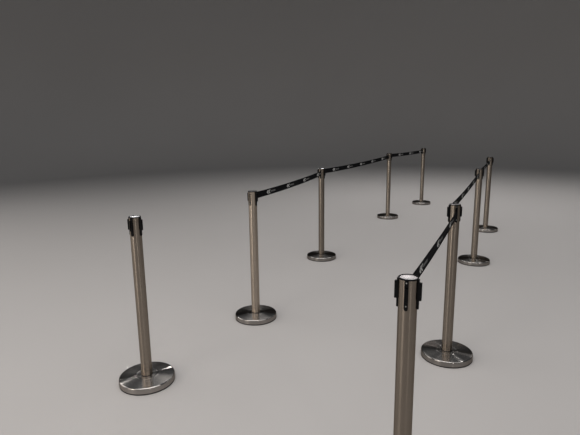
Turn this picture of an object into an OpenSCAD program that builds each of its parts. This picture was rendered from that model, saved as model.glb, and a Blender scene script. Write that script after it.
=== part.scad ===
// Queue lane of retractable belt posts, two lines of posts with belts drawn between them.
// Millimetres, +Z up, +Y along the lane, origin on the floor in the middle of the lane.

/* [Lane layout] */
// Distance across the lane between the first posts of the two lines
lane_w = 1600; // [1200:10:2200]
// How far the left line starts behind the right one
lane_lead = 450; // [0:10:900]
// Open entry between the first and second left posts
entry_gap = 1090; // [700:10:1600]
// Length of the first drawn belt of the left line, post to post
left_span_1 = 1740; // [900:10:3000]
// Length of the second drawn belt of the left line, post to post
left_span_2 = 2480; // [900:10:3000]
// Length of the third drawn belt of the left line, post to post
left_span_3 = 1470; // [900:10:3000]
// Length of the first drawn belt of the right line, post to post
right_span_1 = 1480; // [900:10:3000]
// Length of the second drawn belt of the right line, post to post
right_span_2 = 2260; // [900:10:3000]
// Length of the third drawn belt of the right line, post to post
right_span_3 = 1640; // [900:10:3000]
// Bearing of the entry gap off the lane, positive towards the right line
entry_lean = 7; // [-12:0.5:12]
// Bearing of the first left belt off the lane
left_lean_1 = -4.5; // [-12:0.5:12]
// Bearing of the second left belt off the lane
left_lean_2 = 3; // [-12:0.5:12]
// Bearing of the third left belt off the lane
left_lean_3 = 10; // [-12:0.5:12]
// Bearing of the first right belt off the lane
right_lean_1 = -1; // [-8:0.5:8]
// Bearing of the second right belt off the lane
right_lean_2 = -0.5; // [-8:0.5:8]
// Bearing of the third right belt off the lane
right_lean_3 = 0.5; // [-8:0.5:8]
// How far the first left head is turned off the line to its neighbour
entry_head_turn = 17; // [0:1:40]
// How far the second right head is turned off its own belt
right_head_turn = 27; // [0:1:40]

/* [Post] */
// Height from the floor to the top of the head rim
post_h = 1000; // [850:5:1100]
// Outside diameter of the steel tube
tube_d = 63.5; // [60:0.5:70]
// Wall of the steel tube
tube_wall = 1.5; // [1:0.1:2]
// Outside diameter of the base cover and its floor ring
base_d = 320; // [290:5:380]
// Height of the cover at its outer edge
edge_h = 41; // [38:0.5:46]
// Rise of the shallow dome from the edge to the tube
dome_rise = 5; // [3:0.5:9]
// Round of the outer edge of the cover
edge_r = 8; // [5:0.5:10]
// Sheet of the base cover
cover_t = 1.5; // [1:0.1:2]
// Radius of the shallow raised ring pressed round the tube
bead_r = 63; // [55:1:80]
// Height of the pressed ring
bead_h = 1.2; // [0.8:0.1:2]
// Width of the pressed ring
bead_w = 8; // [6:0.5:12]
// Height of the rubber floor ring that shows below the cover
ring_h = 7; // [5:0.5:9]
// Radial width of the rubber floor ring
ring_w = 26; // [18:1:34]
// Thickness of the cast weight at its edge
weight_t = 16; // [12:1:22]

/* [Head] */
// Width of each upright slot in the tube
slot_w = 14; // [12:0.5:15]
// Length of each slot, open at the top of the tube
slot_len = 104; // [100:1:125]
// Height of the plastic rim above the tube
rim_h = 4.5; // [4:0.5:8]
// How far the rim stands proud of the tube all round
rim_proud = 1.8; // [0.5:0.1:3]
// Diameter of the disc let into the rim
disc_d = 57; // [50:0.5:60]
// How far a receiver strip stands proud of the tube
strip_proud = 5; // [3:0.5:6]
// How far a receiver block stands proud of the tube
block_proud = 13; // [12:0.5:18]
// Drop from the top of the tube to the top of a receiver block
block_drop = 12; // [8:1:20]
// Height of a receiver block
block_h = 60; // [56:1:74]
// Drop from the top of the tube to the sill of the belt mouth
mouth_drop = 76; // [72:0.5:82]
// Drop from the top of the tube to the upper screw of the mouth strip
screw_drop = 8; // [6:0.5:10]
// Distance of the lower screw below the sill of the belt mouth
screw_below = 12; // [6:0.5:14]

/* [Belt] */
// Height of the webbing
belt_w = 50; // [45:1:50]
// Thickness of the webbing
belt_t = 1.5; // [1:0.1:2]
// Sag of a belt per metre of its length
sag_per_m = 6; // [0:1:20]
// Bend of the webbing where it leaves a head at an angle
bend_r = 12; // [8:1:16]

/* [Hidden] */
$fn = 96;
tube_r = tube_d / 2;
bore_r = tube_r - tube_wall;
base_r = base_d / 2;
tube_top = post_h - rim_h;
seat_h = 4;
lip_w = 8;
weight_rise = 3;
weight_top = seat_h + weight_t + weight_rise;
weight_r = base_r - lip_w - 1;
boss_w = 16;
cover_top = edge_h + dome_rise;
plug_h = 36;
bolt_r = 6;
bolt_in_plug = 26;
bolt_play = 0.5;
hex_r = 10.4;
hex_h = 7.5;
recess_r = 24;
recess_h = 11;
recess_taper = 2;
washer_r = 17;
washer_t = 2;
washer_low = seat_h + recess_h - washer_t;
seal_w = 3;
seal_h = 2.4;
cover_play = 0.4;
pocket_r = tube_r - 4.75;
core_h = 124;
block_x = tube_r + block_proud;
slot_z = tube_top - slot_len;
clip_h = 52;
clip_w = 10;
clip_body = 14;
neck_w = 5;
cavity_w = 9.5;
cavity_d = 5;
lip_t = 2.6;
hook_depth = 46;
hook_lift = 2;
play = 0.3;
tongue_x = lip_t + cavity_d - play;
clip_body_x = tongue_x + 2 * play;
clip_len = clip_body_x + clip_body;
belt_grip = 8;
mouth_z = tube_top - mouth_drop;
mouth_h = clip_h + 1.5;
mouth_w = clip_w + 1;
mouth_face = tube_r + 0.4;
clip_tip = tube_r + 1.2;
hook_z = tube_top - block_drop - hook_depth - hook_lift;
spool_x = -7;
spool_r = 16.5;
flange_t = 1.2;
pin_r = 3;
chamber_x = -5.5;
chamber_r = 19.5;
chamber_z = mouth_z - 2;
chamber_h = clip_h + 5;
mouth_mid = mouth_z + clip_h / 2;
screw_r = 1.3;
screw_head_r = 2.5;
screw_head_h = 0.7;
screw_drops = [screw_drop, mouth_drop + screw_below];
screw_seat = pocket_r + 1;
disc_r = disc_d / 2;
disc_t = 1.6;
ledge_h = 1.6;
rim_r = tube_r + rim_proud;
hook_mid = hook_z + clip_h / 2;

// posts of one line, each a span and a bearing on from the one before
function line(p, s, a, i = 0) = i == len(s) ? [p]
  : concat([p], line(p + s[i] * [sin(a[i]), cos(a[i])], s, a, i + 1));
left_line = line([0, lane_lead], [entry_gap, left_span_1, left_span_2, left_span_3],
  [entry_lean, left_lean_1, left_lean_2, left_lean_3]);
right_line = line([lane_w, 0], [right_span_1, right_span_2, right_span_3],
  [right_lean_1, right_lean_2, right_lean_3]);
raw = concat(left_line, right_line);
raw_x = [for (p = raw) p.x];
raw_y = [for (p = raw) p.y];
mid = [(min(raw_x) + max(raw_x)) / 2, (min(raw_y) + max(raw_y)) / 2];
spots = [for (p = raw) p - mid];

// direction from one spot to another, and the way each belt mouth faces
function aim(a, b) = atan2(b.y - a.y, b.x - a.x);
faces = [
  aim(spots[0], spots[1]) + entry_head_turn,
  aim(spots[1], spots[0]),
  aim(spots[2], spots[1]),
  aim(spots[3], spots[2]),
  aim(spots[4], spots[3]),
  aim(spots[6], spots[5]),
  aim(spots[6], spots[5]) + right_head_turn,
  aim(spots[7], spots[6]),
  aim(spots[8], spots[7])
];
posts = [0:len(spots) - 1];
parked = [0, 1, 5];
// each belt leaves the mouth of the first post and hooks on the second
runs = [[2, 1], [3, 2], [4, 3], [6, 5], [7, 6], [8, 7]];

rubber = [0.07, 0.07, 0.07];
iron = [0.24, 0.24, 0.25];
steel = [0.66, 0.62, 0.56];
silver = [0.83, 0.83, 0.82];
black = [0.05, 0.05, 0.055];
zinc = [0.72, 0.73, 0.72];
webbing = [0.03, 0.03, 0.035];

// a post's own frame, +X out of its belt mouth
module at_post(i) translate([spots[i].x, spots[i].y, 0]) rotate(faces[i]) children();
module at_posts(list = posts) for (i = list) at_post(i) children();
// a flat shape in across and up, pushed out along +X from x0 to x1
module out(x0, x1) translate([x0, 0, 0]) rotate([90, 0, 90]) linear_extrude(x1 - x0) children();
// the tall strip that fills one slot of the tube, round at its lower end
module strip_shape(over = 0) {
  translate([-slot_w / 2, slot_z + slot_w / 2]) square([slot_w, slot_len - slot_w / 2 + over]);
  translate([0, slot_z + slot_w / 2]) circle(d = slot_w);
}
function arc(c, r, a0, a1, n) = [for (i = [0:n]) c + r * [cos(a0 + (a1 - a0) * i / n),
  sin(a0 + (a1 - a0) * i / n)]];

// rubber ring the whole post stands on, with a lip under the cover skirt
module floor_rings() color(rubber) at_posts() rotate_extrude() polygon([
  [base_r - ring_w, 0], [base_r - 1.5, 0], [base_r, 1.5], [base_r, ring_h],
  [base_r - lip_w, ring_h], [base_r - lip_w, seat_h], [base_r - ring_w, seat_h]]);

// iron casting that holds the post down, recessed below for the bolt
module cast_weights() color(iron) at_posts() rotate_extrude() polygon([
  [bolt_r + bolt_play, seat_h + recess_h], [recess_r, seat_h + recess_h],
  [recess_r + recess_taper, seat_h], [weight_r, seat_h], [weight_r, seat_h + weight_t - 5],
  [weight_r - 5, seat_h + weight_t], [tube_r + boss_w, weight_top],
  [bolt_r + bolt_play, weight_top]]);

module anchor_washers() color(zinc) at_posts()
  translate([0, 0, washer_low]) difference() {
    cylinder(h = washer_t, r = washer_r);
    translate([0, 0, -1]) cylinder(h = washer_t + 2, r = bolt_r);
  }

// hexagon bolt from below up into the foot plug
module anchor_bolts() color(zinc) at_posts() {
  translate([0, 0, washer_low - hex_h]) cylinder(h = hex_h, r = hex_r, $fn = 6);
  translate([0, 0, washer_low - 1])
    cylinder(h = weight_top + bolt_in_plug - washer_low + 1, r = bolt_r);
}

module foot_plugs() color(zinc) at_posts() difference() {
  translate([0, 0, weight_top]) cylinder(h = plug_h, r = bore_r);
  translate([0, 0, weight_top - 1]) cylinder(h = bolt_in_plug + 1, r = bolt_r);
}

// drawn and spun cover: skirt, round edge, shallow dome, pressed ring, hole for the tube
function dome_z(r) = edge_h + dome_rise * (1 - pow((r - tube_r) / (base_r - edge_r - tube_r), 2));
function cover_line(d) = concat(
  [[base_r - d, ring_h]],
  arc([base_r - edge_r, edge_h - edge_r], edge_r - d, 0, 85, 7),
  [for (i = [1:4]) let (r = base_r - edge_r - i * (base_r - edge_r - bead_r - bead_w) / 4)
    [r, dome_z(r) - d]],
  [for (t = [1, 0.25, -0.25, -1]) let (r = bead_r + t * bead_w / 2)
    [r, dome_z(r) + (abs(t) < 1 ? bead_h : 0) - d]],
  [[tube_r + cover_play, cover_top - d]]);
module base_covers() color(steel) at_posts() rotate_extrude()
  polygon(concat(cover_line(0), [for (i = [len(cover_line(0)) - 1:-1:0]) cover_line(cover_t)[i]]));

// soft ring that closes the joint between cover and tube
module foot_seals() color(rubber) at_posts() rotate_extrude() polygon([
  [tube_r, cover_top], [tube_r + seal_w, cover_top],
  [tube_r + 0.8 * seal_w, cover_top + seal_h * 2 / 3], [tube_r, cover_top + seal_h]]);

// steel tube with four open slots at the top
module post_tubes() color(steel) at_posts() difference() {
  translate([0, 0, weight_top]) cylinder(h = tube_top - weight_top, r = tube_r);
  translate([0, 0, weight_top - 1]) cylinder(h = tube_top - weight_top + 2, r = bore_r);
  for (a = [0:90:270]) rotate(a) out(pocket_r, tube_r + 2) strip_shape(2);
}

// black moulding in the tube: pockets for the strips, drum chamber, way out for the belt
module head_cores() color(black) at_posts() difference() {
  translate([0, 0, tube_top - core_h]) cylinder(h = core_h, r = bore_r);
  for (a = [0:90:270]) rotate(a) out(pocket_r, tube_r + 2) strip_shape(2);
  translate([chamber_x, 0, chamber_z]) cylinder(h = chamber_h, r = chamber_r);
  translate([0, -mouth_w / 2, mouth_z]) cube([tube_r + 2, mouth_w, mouth_h]);
}

module spool_pins() color(zinc) at_posts()
  translate([spool_x, 0, chamber_z]) cylinder(h = chamber_h, r = pin_r);

// webbing wound on its drum between two thin flanges
module belt_spools() color(webbing) at_posts() translate([spool_x, 0, mouth_z]) difference() {
  union() {
    cylinder(h = flange_t, r = spool_r);
    translate([0, 0, clip_h + 1 - flange_t]) cylinder(h = flange_t, r = spool_r);
    cylinder(h = clip_h, r = spool_r - 1);
  }
  translate([0, 0, -1]) cylinder(h = clip_h + 4, r = pin_r);
}

// strip round the mouth, flush with the tube
module mouth_inserts() color(black) at_posts() difference() {
  out(pocket_r, mouth_face) strip_shape();
  translate([0, -mouth_w / 2, mouth_z]) cube([tube_r + 5, mouth_w, mouth_h]);
  for (z = screw_drops) translate([screw_seat, 0, tube_top - z]) rotate([0, 90, 0])
    cylinder(h = mouth_face - pocket_r, r = screw_r);
}

module insert_screws() color(silver) at_posts() for (z = screw_drops)
  translate([screw_seat, 0, tube_top - z]) rotate([0, 90, 0]) {
    cylinder(h = mouth_face - screw_seat + screw_head_h / 2, r = screw_r);
    translate([0, 0, mouth_face - screw_seat]) cylinder(h = screw_head_h, r = screw_head_r);
  }

// strip and proud block with an undercut slot open at the top
module receiver() difference() {
  union() {
    out(pocket_r, tube_r + strip_proud) strip_shape();
    translate([0, 0, tube_top - block_drop - block_h]) linear_extrude(block_h) polygon([
      [tube_r, -slot_w / 2], [block_x - 2, -slot_w / 2], [block_x, -slot_w / 2 + 2],
      [block_x, slot_w / 2 - 2], [block_x - 2, slot_w / 2], [tube_r, slot_w / 2]]);
  }
  translate([0, 0, tube_top - block_drop - hook_depth]) linear_extrude(hook_depth + 2) {
    translate([block_x - lip_t - 1, -neck_w / 2]) square([lip_t + 2, neck_w]);
    translate([block_x - lip_t - cavity_d, -cavity_w / 2]) square([cavity_d, cavity_w]);
  }
}
module receivers() color(black) at_posts() for (a = [90, 180, 270]) rotate(a) receiver();

// plastic rim that closes the tube, with an inner ledge for the disc
module top_rims() color(black) at_posts() rotate_extrude() polygon([
  [disc_r - 5, tube_top], [rim_r, tube_top], [rim_r, post_h - 1.2], [rim_r - 1.2, post_h],
  [disc_r + 0.3, post_h], [disc_r, tube_top + ledge_h + disc_t], [disc_r, tube_top + ledge_h],
  [disc_r - 5, tube_top + ledge_h]]);

module cap_discs() color(silver) at_posts() translate([0, 0, tube_top + ledge_h])
  cylinder(h = disc_t, r = disc_r);

// end clip of a belt, its hook at x = 0 and its webbing leaving along +X
module clip() difference() {
  linear_extrude(clip_h) polygon([
    [clip_body_x + 2, -clip_w / 2], [clip_len - 3, -clip_w / 2], [clip_len, -belt_t - 0.8],
    [clip_len, belt_t + 0.8], [clip_len - 3, clip_w / 2], [clip_body_x + 2, clip_w / 2],
    [clip_body_x, clip_w / 2 - 2], [clip_body_x, -clip_w / 2 + 2]]);
  translate([clip_len - belt_grip, -belt_t / 2, (clip_h - belt_w) / 2])
    cube([belt_grip + 1, belt_t, belt_w]);
}
module hook() translate([0, 0, hook_lift]) {
  translate([0, -cavity_w / 2 + play, 0])
    cube([cavity_d - 2 * play, cavity_w - 2 * play, hook_depth - hook_lift]);
  translate([1, -neck_w / 2 + play, 0])
    cube([clip_body_x, neck_w - 2 * play, hook_depth - hook_lift]);
}
module parked_clips() color(black) at_posts(parked)
  translate([clip_tip, 0, mouth_z]) rotate(180) { clip(); hook(); }
module hooked_clips() color(black) for (r = runs) at_post(r[1]) rotate(180)
  translate([block_x - tongue_x, 0, hook_z]) { clip(); hook(); }

// plan of one belt: straight out of the mouth, bend, straight run, bend, straight into the clip
function dir(a) = [cos(a), sin(a)];
function side(a) = [-sin(a), cos(a)];
function near(a) = a > 180 ? near(a - 360) : a < -180 ? near(a + 360) : a;
function offset_line(p, t) = [for (q = p) q[0] + t * side(q[1])];
module belt(n) {
  run = runs[n];
  from = spots[run[0]];
  to = spots[run[1]];
  out_a = faces[run[0]];
  in_a = faces[run[1]] + 180;
  start = from + (tube_r + 2) * dir(out_a);
  stop = to + (block_x - tongue_x + clip_len) * dir(in_a);
  along = aim(start, stop);
  s1 = near(along - out_a) < 0 ? -1 : 1;
  s2 = near(along + 180 - in_a) < 0 ? 1 : -1;
  c1 = start + s1 * bend_r * side(out_a);
  c2 = stop - s2 * bend_r * side(in_a);
  go = aim(c1, c2) - asin((s2 - s1) * bend_r / norm(c2 - c1));
  turn1 = near(go - out_a);
  turn2 = near(in_a + 180 - go);
  n_bend = 5;
  path = concat(
    [[from + (spool_x + spool_r - 0.2) * dir(out_a), out_a]],
    [for (i = [0:n_bend]) let (a = out_a + turn1 * i / n_bend) [c1 - s1 * bend_r * side(a), a]],
    [for (i = [0:n_bend]) let (a = go + turn2 * i / n_bend) [c2 - s2 * bend_r * side(a), a]],
    [[stop - belt_grip * dir(in_a), in_a + 180]]);
  left = offset_line(path, belt_t / 2);
  right = offset_line(path, -belt_t / 2);
  // side view along the run: level in the mouth and in the clip, a shallow sag between
  a0 = path[1 + n_bend][0];
  len_run = norm(path[2 + n_bend][0] - a0);
  sag = sag_per_m * len_run / 1000;
  steps = 10;
  past = 4 * tube_r;
  mids = concat([[-past, mouth_mid]],
    [for (i = [0:steps]) let (u = i / steps)
      [u * len_run, mouth_mid + (hook_mid - mouth_mid) * u - 4 * sag * u * (1 - u)]],
    [[len_run + past, hook_mid]]);
  intersection() {
    translate([0, 0, mouth_mid - 4 * belt_w]) linear_extrude(8 * belt_w)
      polygon(concat(left, [for (i = [len(right) - 1:-1:0]) right[i]]));
    translate([a0.x, a0.y, 0]) rotate(go) translate([0, past, 0]) rotate([90, 0, 0])
      linear_extrude(2 * past) polygon(concat([for (m = mids) m + [0, belt_w / 2]],
        [for (i = [len(mids) - 1:-1:0]) mids[i] - [0, belt_w / 2]]));
  }
}
module belt_left_1() color(webbing) belt(0);
module belt_left_2() color(webbing) belt(1);
module belt_left_3() color(webbing) belt(2);
module belt_right_1() color(webbing) belt(3);
module belt_right_2() color(webbing) belt(4);
module belt_right_3() color(webbing) belt(5);

floor_rings();
cast_weights();
anchor_washers();
anchor_bolts();
foot_plugs();
base_covers();
foot_seals();
post_tubes();
head_cores();
spool_pins();
belt_spools();
mouth_inserts();
insert_screws();
receivers();
top_rims();
cap_discs();
parked_clips();
hooked_clips();
belt_left_1();
belt_left_2();
belt_left_3();
belt_right_1();
belt_right_2();
belt_right_3();
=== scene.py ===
import math

import bmesh
import bpy
import numpy as np
from mathutils import Matrix, Vector


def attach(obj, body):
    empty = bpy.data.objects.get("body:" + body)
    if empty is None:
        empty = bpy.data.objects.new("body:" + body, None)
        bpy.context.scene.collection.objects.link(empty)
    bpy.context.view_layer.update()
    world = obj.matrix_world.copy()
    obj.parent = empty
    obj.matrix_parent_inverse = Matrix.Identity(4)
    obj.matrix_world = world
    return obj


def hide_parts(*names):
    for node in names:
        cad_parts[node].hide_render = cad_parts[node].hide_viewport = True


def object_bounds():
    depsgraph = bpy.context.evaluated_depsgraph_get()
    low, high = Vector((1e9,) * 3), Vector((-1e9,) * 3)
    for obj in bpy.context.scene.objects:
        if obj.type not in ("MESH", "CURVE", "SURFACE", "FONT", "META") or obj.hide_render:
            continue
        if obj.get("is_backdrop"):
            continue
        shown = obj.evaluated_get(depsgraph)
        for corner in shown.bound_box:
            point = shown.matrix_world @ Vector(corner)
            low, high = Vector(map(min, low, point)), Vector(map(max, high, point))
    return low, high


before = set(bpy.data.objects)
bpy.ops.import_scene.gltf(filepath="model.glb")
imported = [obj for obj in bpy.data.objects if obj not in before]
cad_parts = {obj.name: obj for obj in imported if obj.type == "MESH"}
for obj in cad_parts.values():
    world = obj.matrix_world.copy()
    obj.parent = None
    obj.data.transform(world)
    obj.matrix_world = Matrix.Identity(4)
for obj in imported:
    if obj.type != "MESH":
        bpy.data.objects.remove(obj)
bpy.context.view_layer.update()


# Camera: eye height beside the nearest post of the right line, looking along the lane, down
# and to the left, through a moderately wide lens.
def placed(name, data):
    """A new object with this data, at the origin of the scene."""
    thing = bpy.data.objects.new(name, data)
    bpy.context.scene.collection.objects.link(thing)
    return thing


eye, look_left, look_down, roll = (1.097, -5.118, 1.511), 25.48, 11.52, -0.75
lens = bpy.data.cameras.new("lane_camera")
lens.sensor_width = 36
lens.lens = 29.6
camera = placed("lane_camera", lens)
camera.matrix_world = (
    Matrix.Translation(eye)
    @ Matrix.Rotation(math.radians(look_left), 4, "Z")
    @ Matrix.Rotation(math.radians(90 - look_down), 4, "X")
    @ Matrix.Rotation(math.radians(roll), 4, "Z")
)
bpy.context.scene.camera = camera
bpy.context.scene.view_settings.view_transform = "Standard"


# Studio: a plain pale floor that sweeps up into a round backdrop, under a dim even dome. Soft
# panels hang over the lane and stand at its ends, so that the steel has light to show. Four
# dim lamps with a narrow fan put the shine on single cap discs and on one base.
def fill(tree, node, links):
    """Sets or links a node's sockets by name or place."""
    for name, value in dict(links).items():
        if isinstance(value, bpy.types.NodeSocket):
            tree.links.new(value, node.inputs[name])
        else:
            node.inputs[name].default_value = value


def put(tree, kind, links=(), **settings):
    """Adds a node, sets its own settings, then sets or links its sockets."""
    node = tree.nodes.new(kind)
    for name, value in settings.items():
        setattr(node, name, value)
    fill(tree, node, links)
    return node


def new_finish(name, metallic, roughness):
    """A material with one Principled surface. Returns the material, its tree and the surface."""
    finish = bpy.data.materials.new(name)
    finish.use_nodes = True
    tree = finish.node_tree
    tree.nodes.clear()
    surface = put(tree, "ShaderNodeBsdfPrincipled", {"Metallic": metallic, "Roughness": roughness})
    put(tree, "ShaderNodeOutputMaterial", {"Surface": surface.outputs[0]})
    return finish, tree, surface


def calc(tree, operation, *values):
    """The result of one Math node."""
    return put(tree, "ShaderNodeMath", enumerate(values), operation=operation).outputs[0]


def ranged(tree, value, low, high, to_low=0.0, to_high=1.0, **settings):
    """A value taken from one range to another, and held inside it."""
    return put(tree, "ShaderNodeMapRange", {
        "Value": value, "From Min": low, "From Max": high, "To Min": to_low, "To Max": to_high},
        **settings).outputs[0]


def blend(tree, share, first, second):
    """The colour that lies a share of the way from the first to the second."""
    first, second = ((*colour, 1) if isinstance(colour, tuple) else colour
                     for colour in (first, second))
    return put(tree, "ShaderNodeMix", {"Factor": share, "A": first, "B": second},
               data_type="RGBA").outputs["Result"]


def noise(tree, where, scale, detail, roughness=0.5, distortion=0.0):
    """The value of a noise texture."""
    return put(tree, "ShaderNodeTexNoise", {
        "Vector": where, "Scale": scale, "Detail": detail, "Roughness": roughness,
        "Distortion": distortion}).outputs["Fac"]


floor_r, sweep_r, backdrop_h, floor_gap = 11.0, 4.0, 8.5, 0.0004
line = [(0.0, 0.0), (3.0, 0.0), (7.0, 0.0), (floor_r, 0.0)]
line += [(floor_r + sweep_r * math.sin(a), sweep_r - sweep_r * math.cos(a))
         for a in np.linspace(0.1, math.pi / 2, 10)]
line += [(floor_r + sweep_r, backdrop_h)]
sweep = bmesh.new()
verts = [sweep.verts.new((r, 0, z - floor_gap)) for r, z in line]
edges = [sweep.edges.new(pair) for pair in zip(verts, verts[1:])]
bmesh.ops.spin(sweep, geom=verts + edges, cent=(0, 0, 0), axis=(0, 0, 1),
               angle=2 * math.pi, steps=96)
bmesh.ops.remove_doubles(sweep, verts=sweep.verts, dist=0.0005)
bmesh.ops.recalc_face_normals(sweep, faces=sweep.faces)
for face in sweep.faces:
    face.smooth = True
sweep_mesh = bpy.data.meshes.new("studio_floor")
sweep.to_mesh(sweep_mesh)
sweep.free()
studio_floor = placed("studio_floor", sweep_mesh)

floor_paint, tree, surface = new_finish("floor_paint", 0, 0.6)
where = put(tree, "ShaderNodeTexCoord").outputs["Object"]
tone = blend(tree, noise(tree, where, 0.35, 2.0), (0.44, 0.412, 0.395), (0.47, 0.442, 0.425))
height = put(tree, "ShaderNodeSeparateXYZ", {0: where}).outputs["Z"]
above = ranged(tree, height, 0.3, 2.2, 0.25, 0.8)
seen = put(tree, "ShaderNodeLightPath").outputs["Is Camera Ray"]
unseen = calc(tree, "MULTIPLY", above, calc(tree, "SUBTRACT", 1.0, seen))
fill(tree, surface, {"Base Color": blend(tree, unseen, tone, (0.02, 0.02, 0.02)),
                     "Specular IOR Level": 0.25})
studio_floor.data.materials.append(floor_paint)
studio_floor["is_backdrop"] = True

dome = bpy.data.worlds.new("dim_dome")
dome.use_nodes = True
dome.node_tree.nodes["Background"].inputs["Color"].default_value = (0.86, 0.93, 1.0, 1)
dome.node_tree.nodes["Background"].inputs["Strength"].default_value = 0.14
bpy.context.scene.world = dome


def panel(name, at, towards, wide, tall, watts, colour=(1, 1, 1), fan=180):
    """A soft rectangular lamp that the camera itself doesn't see, and how wide it fans out."""
    lamp = bpy.data.lights.new(name, "AREA")
    lamp.shape = "RECTANGLE"
    lamp.size, lamp.size_y = wide, tall
    lamp.energy = watts
    lamp.color = colour
    lamp.spread = math.radians(fan)
    holder = placed(name, lamp)
    holder.location = at
    holder.rotation_euler = (Vector(towards) - Vector(at)).to_track_quat("-Z", "Y").to_euler()
    holder.visible_camera = False


panel("over_entry", (0.3, -6.6, 6.2), (0, -5.6, 0), 6.0, 3.2, 160)
panel("over_middle", (0.0, -2.9, 6.3), (0, -2.4, 0), 6.0, 3.2, 160)
panel("over_right", (6.8, -4.4, 5.4), (0, -2.6, 0), 4.6, 3.0, 90)
panel("over_left", (-7.4, -4.4, 5.4), (-0.4, -2.6, 0), 4.6, 3.0, 70)
panel("far_right", (3.7, 6.4, 4.4), (-0.5, -2.5, 0), 2.4, 1.6, 22)
panel("over_end", (-3.6, 3.1, 6.0), (-0.6, -1.0, 0), 3.4, 2.6, 24)
panel("over_far", (0.0, 4.6, 6.4), (0.0, 4.65, 0), 6.0, 3.0, 60, fan=95)
panel("strip_right", (2.8, 1.8, 6.0), (-0.4, -0.5, 0), 3.3, 0.2, 32)
panel("strip_left", (-10.0, -0.9, 5.6), (-3.6, -7.2, 0), 6.4, 0.25, 60)
panel("front_wide", (-3.4, -9.2, 2.4), (-0.4, 0, 0.6), 3.6, 3.6, 120, (1.0, 0.94, 0.86))
panel("front_slit", (-2.9, -9.3, 2.2), (-0.4, 0, 0.6), 0.6, 3.6, 32, (1.0, 0.96, 0.92))
panel("right_slit", (5.0, -8.0, 2.2), (0, -2.0, 0.6), 0.35, 3.6, 30, (1.0, 0.97, 0.93))
panel("side_left", (-7.8, -5.2, 2.2), (0, -2.0, 0.6), 4.6, 3.0, 80, (1.0, 0.96, 0.90))
panel("far_middle", (-4.82, 9.8, 2.08), (-0.8, -0.33, 1.0), 0.9, 0.5, 0.028,
      (0.94, 0.97, 1.0), fan=5)
panel("back_left", (-8.6, 5.0, 3.1), (-0.8, -3.15, 1.0), 1.4, 1.4, 0.072,
      (0.97, 0.98, 1.0), fan=8)
panel("far_left", (-5.78, 4.87, 3.34), (-0.8, -3.15, 0.05), 0.3, 0.3, 0.05, fan=6)
panel("high_back", (-1.55, 8.2, 4.95), (0.8, -3.6, 1.0), 2.6, 2.0, 0.19,
      (1.0, 0.95, 0.95), fan=10)


# Floor ring: each post stands on a moulded black rubber ring pressed into the cover's skirt.
# All nine posts are alike; each is set on its own foot centre and turned to its belt's way.
def reach(node, axis=2):
    """Lowest and highest place of a CAD node along one axis."""
    places = [v.co[axis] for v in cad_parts[node].data.vertices]
    return min(places), max(places)


def post_places():
    """(x, y, 0, turn) of each post, the left line from the entry on and then the right line."""
    discs, mouths = (
        np.unique(np.array([v.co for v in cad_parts[n].data.vertices]).round(5), axis=0)
        for n in ("cap_discs", "mouth_inserts"))
    places = []
    while len(discs):
        near = np.linalg.norm(discs[:, :2] - discs[0, :2], axis=1) < 0.1
        x, y = discs[near, :2].mean(0)
        insert = mouths[np.linalg.norm(mouths[:, :2] - (x, y), axis=1) < 0.1, :2].mean(0)
        places.append((float(x), float(y), 0.0, math.atan2(insert[1] - y, insert[0] - x)))
        discs = discs[~near]
    return sorted(places, key=lambda p: (p[0] > 0, p[1]))


def softened(corners, cuts=4):
    """An outline from (across, up, rounding) corners, each rounded off by that much."""
    points = []
    for k, (x, y, rounding) in enumerate(corners):
        corner = Vector((x, y))
        if not rounding:
            points.append((x, y))
            continue
        back = Vector(corners[k - 1][:2]) - corner
        on = Vector(corners[(k + 1) % len(corners)][:2]) - corner
        off = min(rounding / math.tan(back.angle(on) / 2), back.length * 0.49, on.length * 0.49)
        start, end = corner + back.normalized() * off, corner + on.normalized() * off
        for t in np.linspace(0, 1, cuts + 1):
            points.append(tuple(start * (1 - t) ** 2 + corner * 2 * t * (1 - t) + end * t * t))
    return points


def keep(name, made, crease=32):
    """Closes a bmesh into an object: faces outwards, smooth but for edges sharper than crease."""
    bmesh.ops.recalc_face_normals(made, faces=made.faces)
    for face in made.faces:
        face.smooth = True
    for edge in made.edges:
        edge.smooth = len(edge.link_faces) == 2 and edge.calc_face_angle(0) < math.radians(crease)
    mesh = bpy.data.meshes.new(name)
    made.to_mesh(mesh)
    made.free()
    return placed(name, mesh)


def turned(name, outline, steps, centre=0.0):
    """A closed piece turned round an upright axis from (radius, height) points.
    Its UV map holds the share of a turn and the running length of the outline."""
    made = bmesh.new()
    uv = made.loops.layers.uv.new("around")
    rows = []
    for radius, height in outline:
        if radius < 1e-6:
            rows.append([made.verts.new((centre, 0, height))] * steps)
        else:
            rows.append([made.verts.new((centre + radius * math.cos(2 * math.pi * k / steps),
                                         radius * math.sin(2 * math.pi * k / steps), height))
                         for k in range(steps)])
    run = 0.0
    for i, here in enumerate(outline):
        j = (i + 1) % len(outline)
        step = math.dist(here, outline[j])
        if max(here[0], outline[j][0]) < 1e-6:
            continue
        for k in range(steps):
            m = (k + 1) % steps
            corners = [(rows[i][k], k, run), (rows[j][k], k, run + step),
                       (rows[j][m], k + 1, run + step), (rows[i][m], k + 1, run)]
            if corners[0][0] is corners[3][0]:
                corners = corners[:3]
            elif corners[1][0] is corners[2][0]:
                corners = [corners[0], corners[1], corners[3]]
            face = made.faces.new([c[0] for c in corners])
            for loop, (_, turn, along) in zip(face.loops, corners):
                loop[uv].uv = (turn / steps, along)
        run += step
    return keep(name, made)


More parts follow.
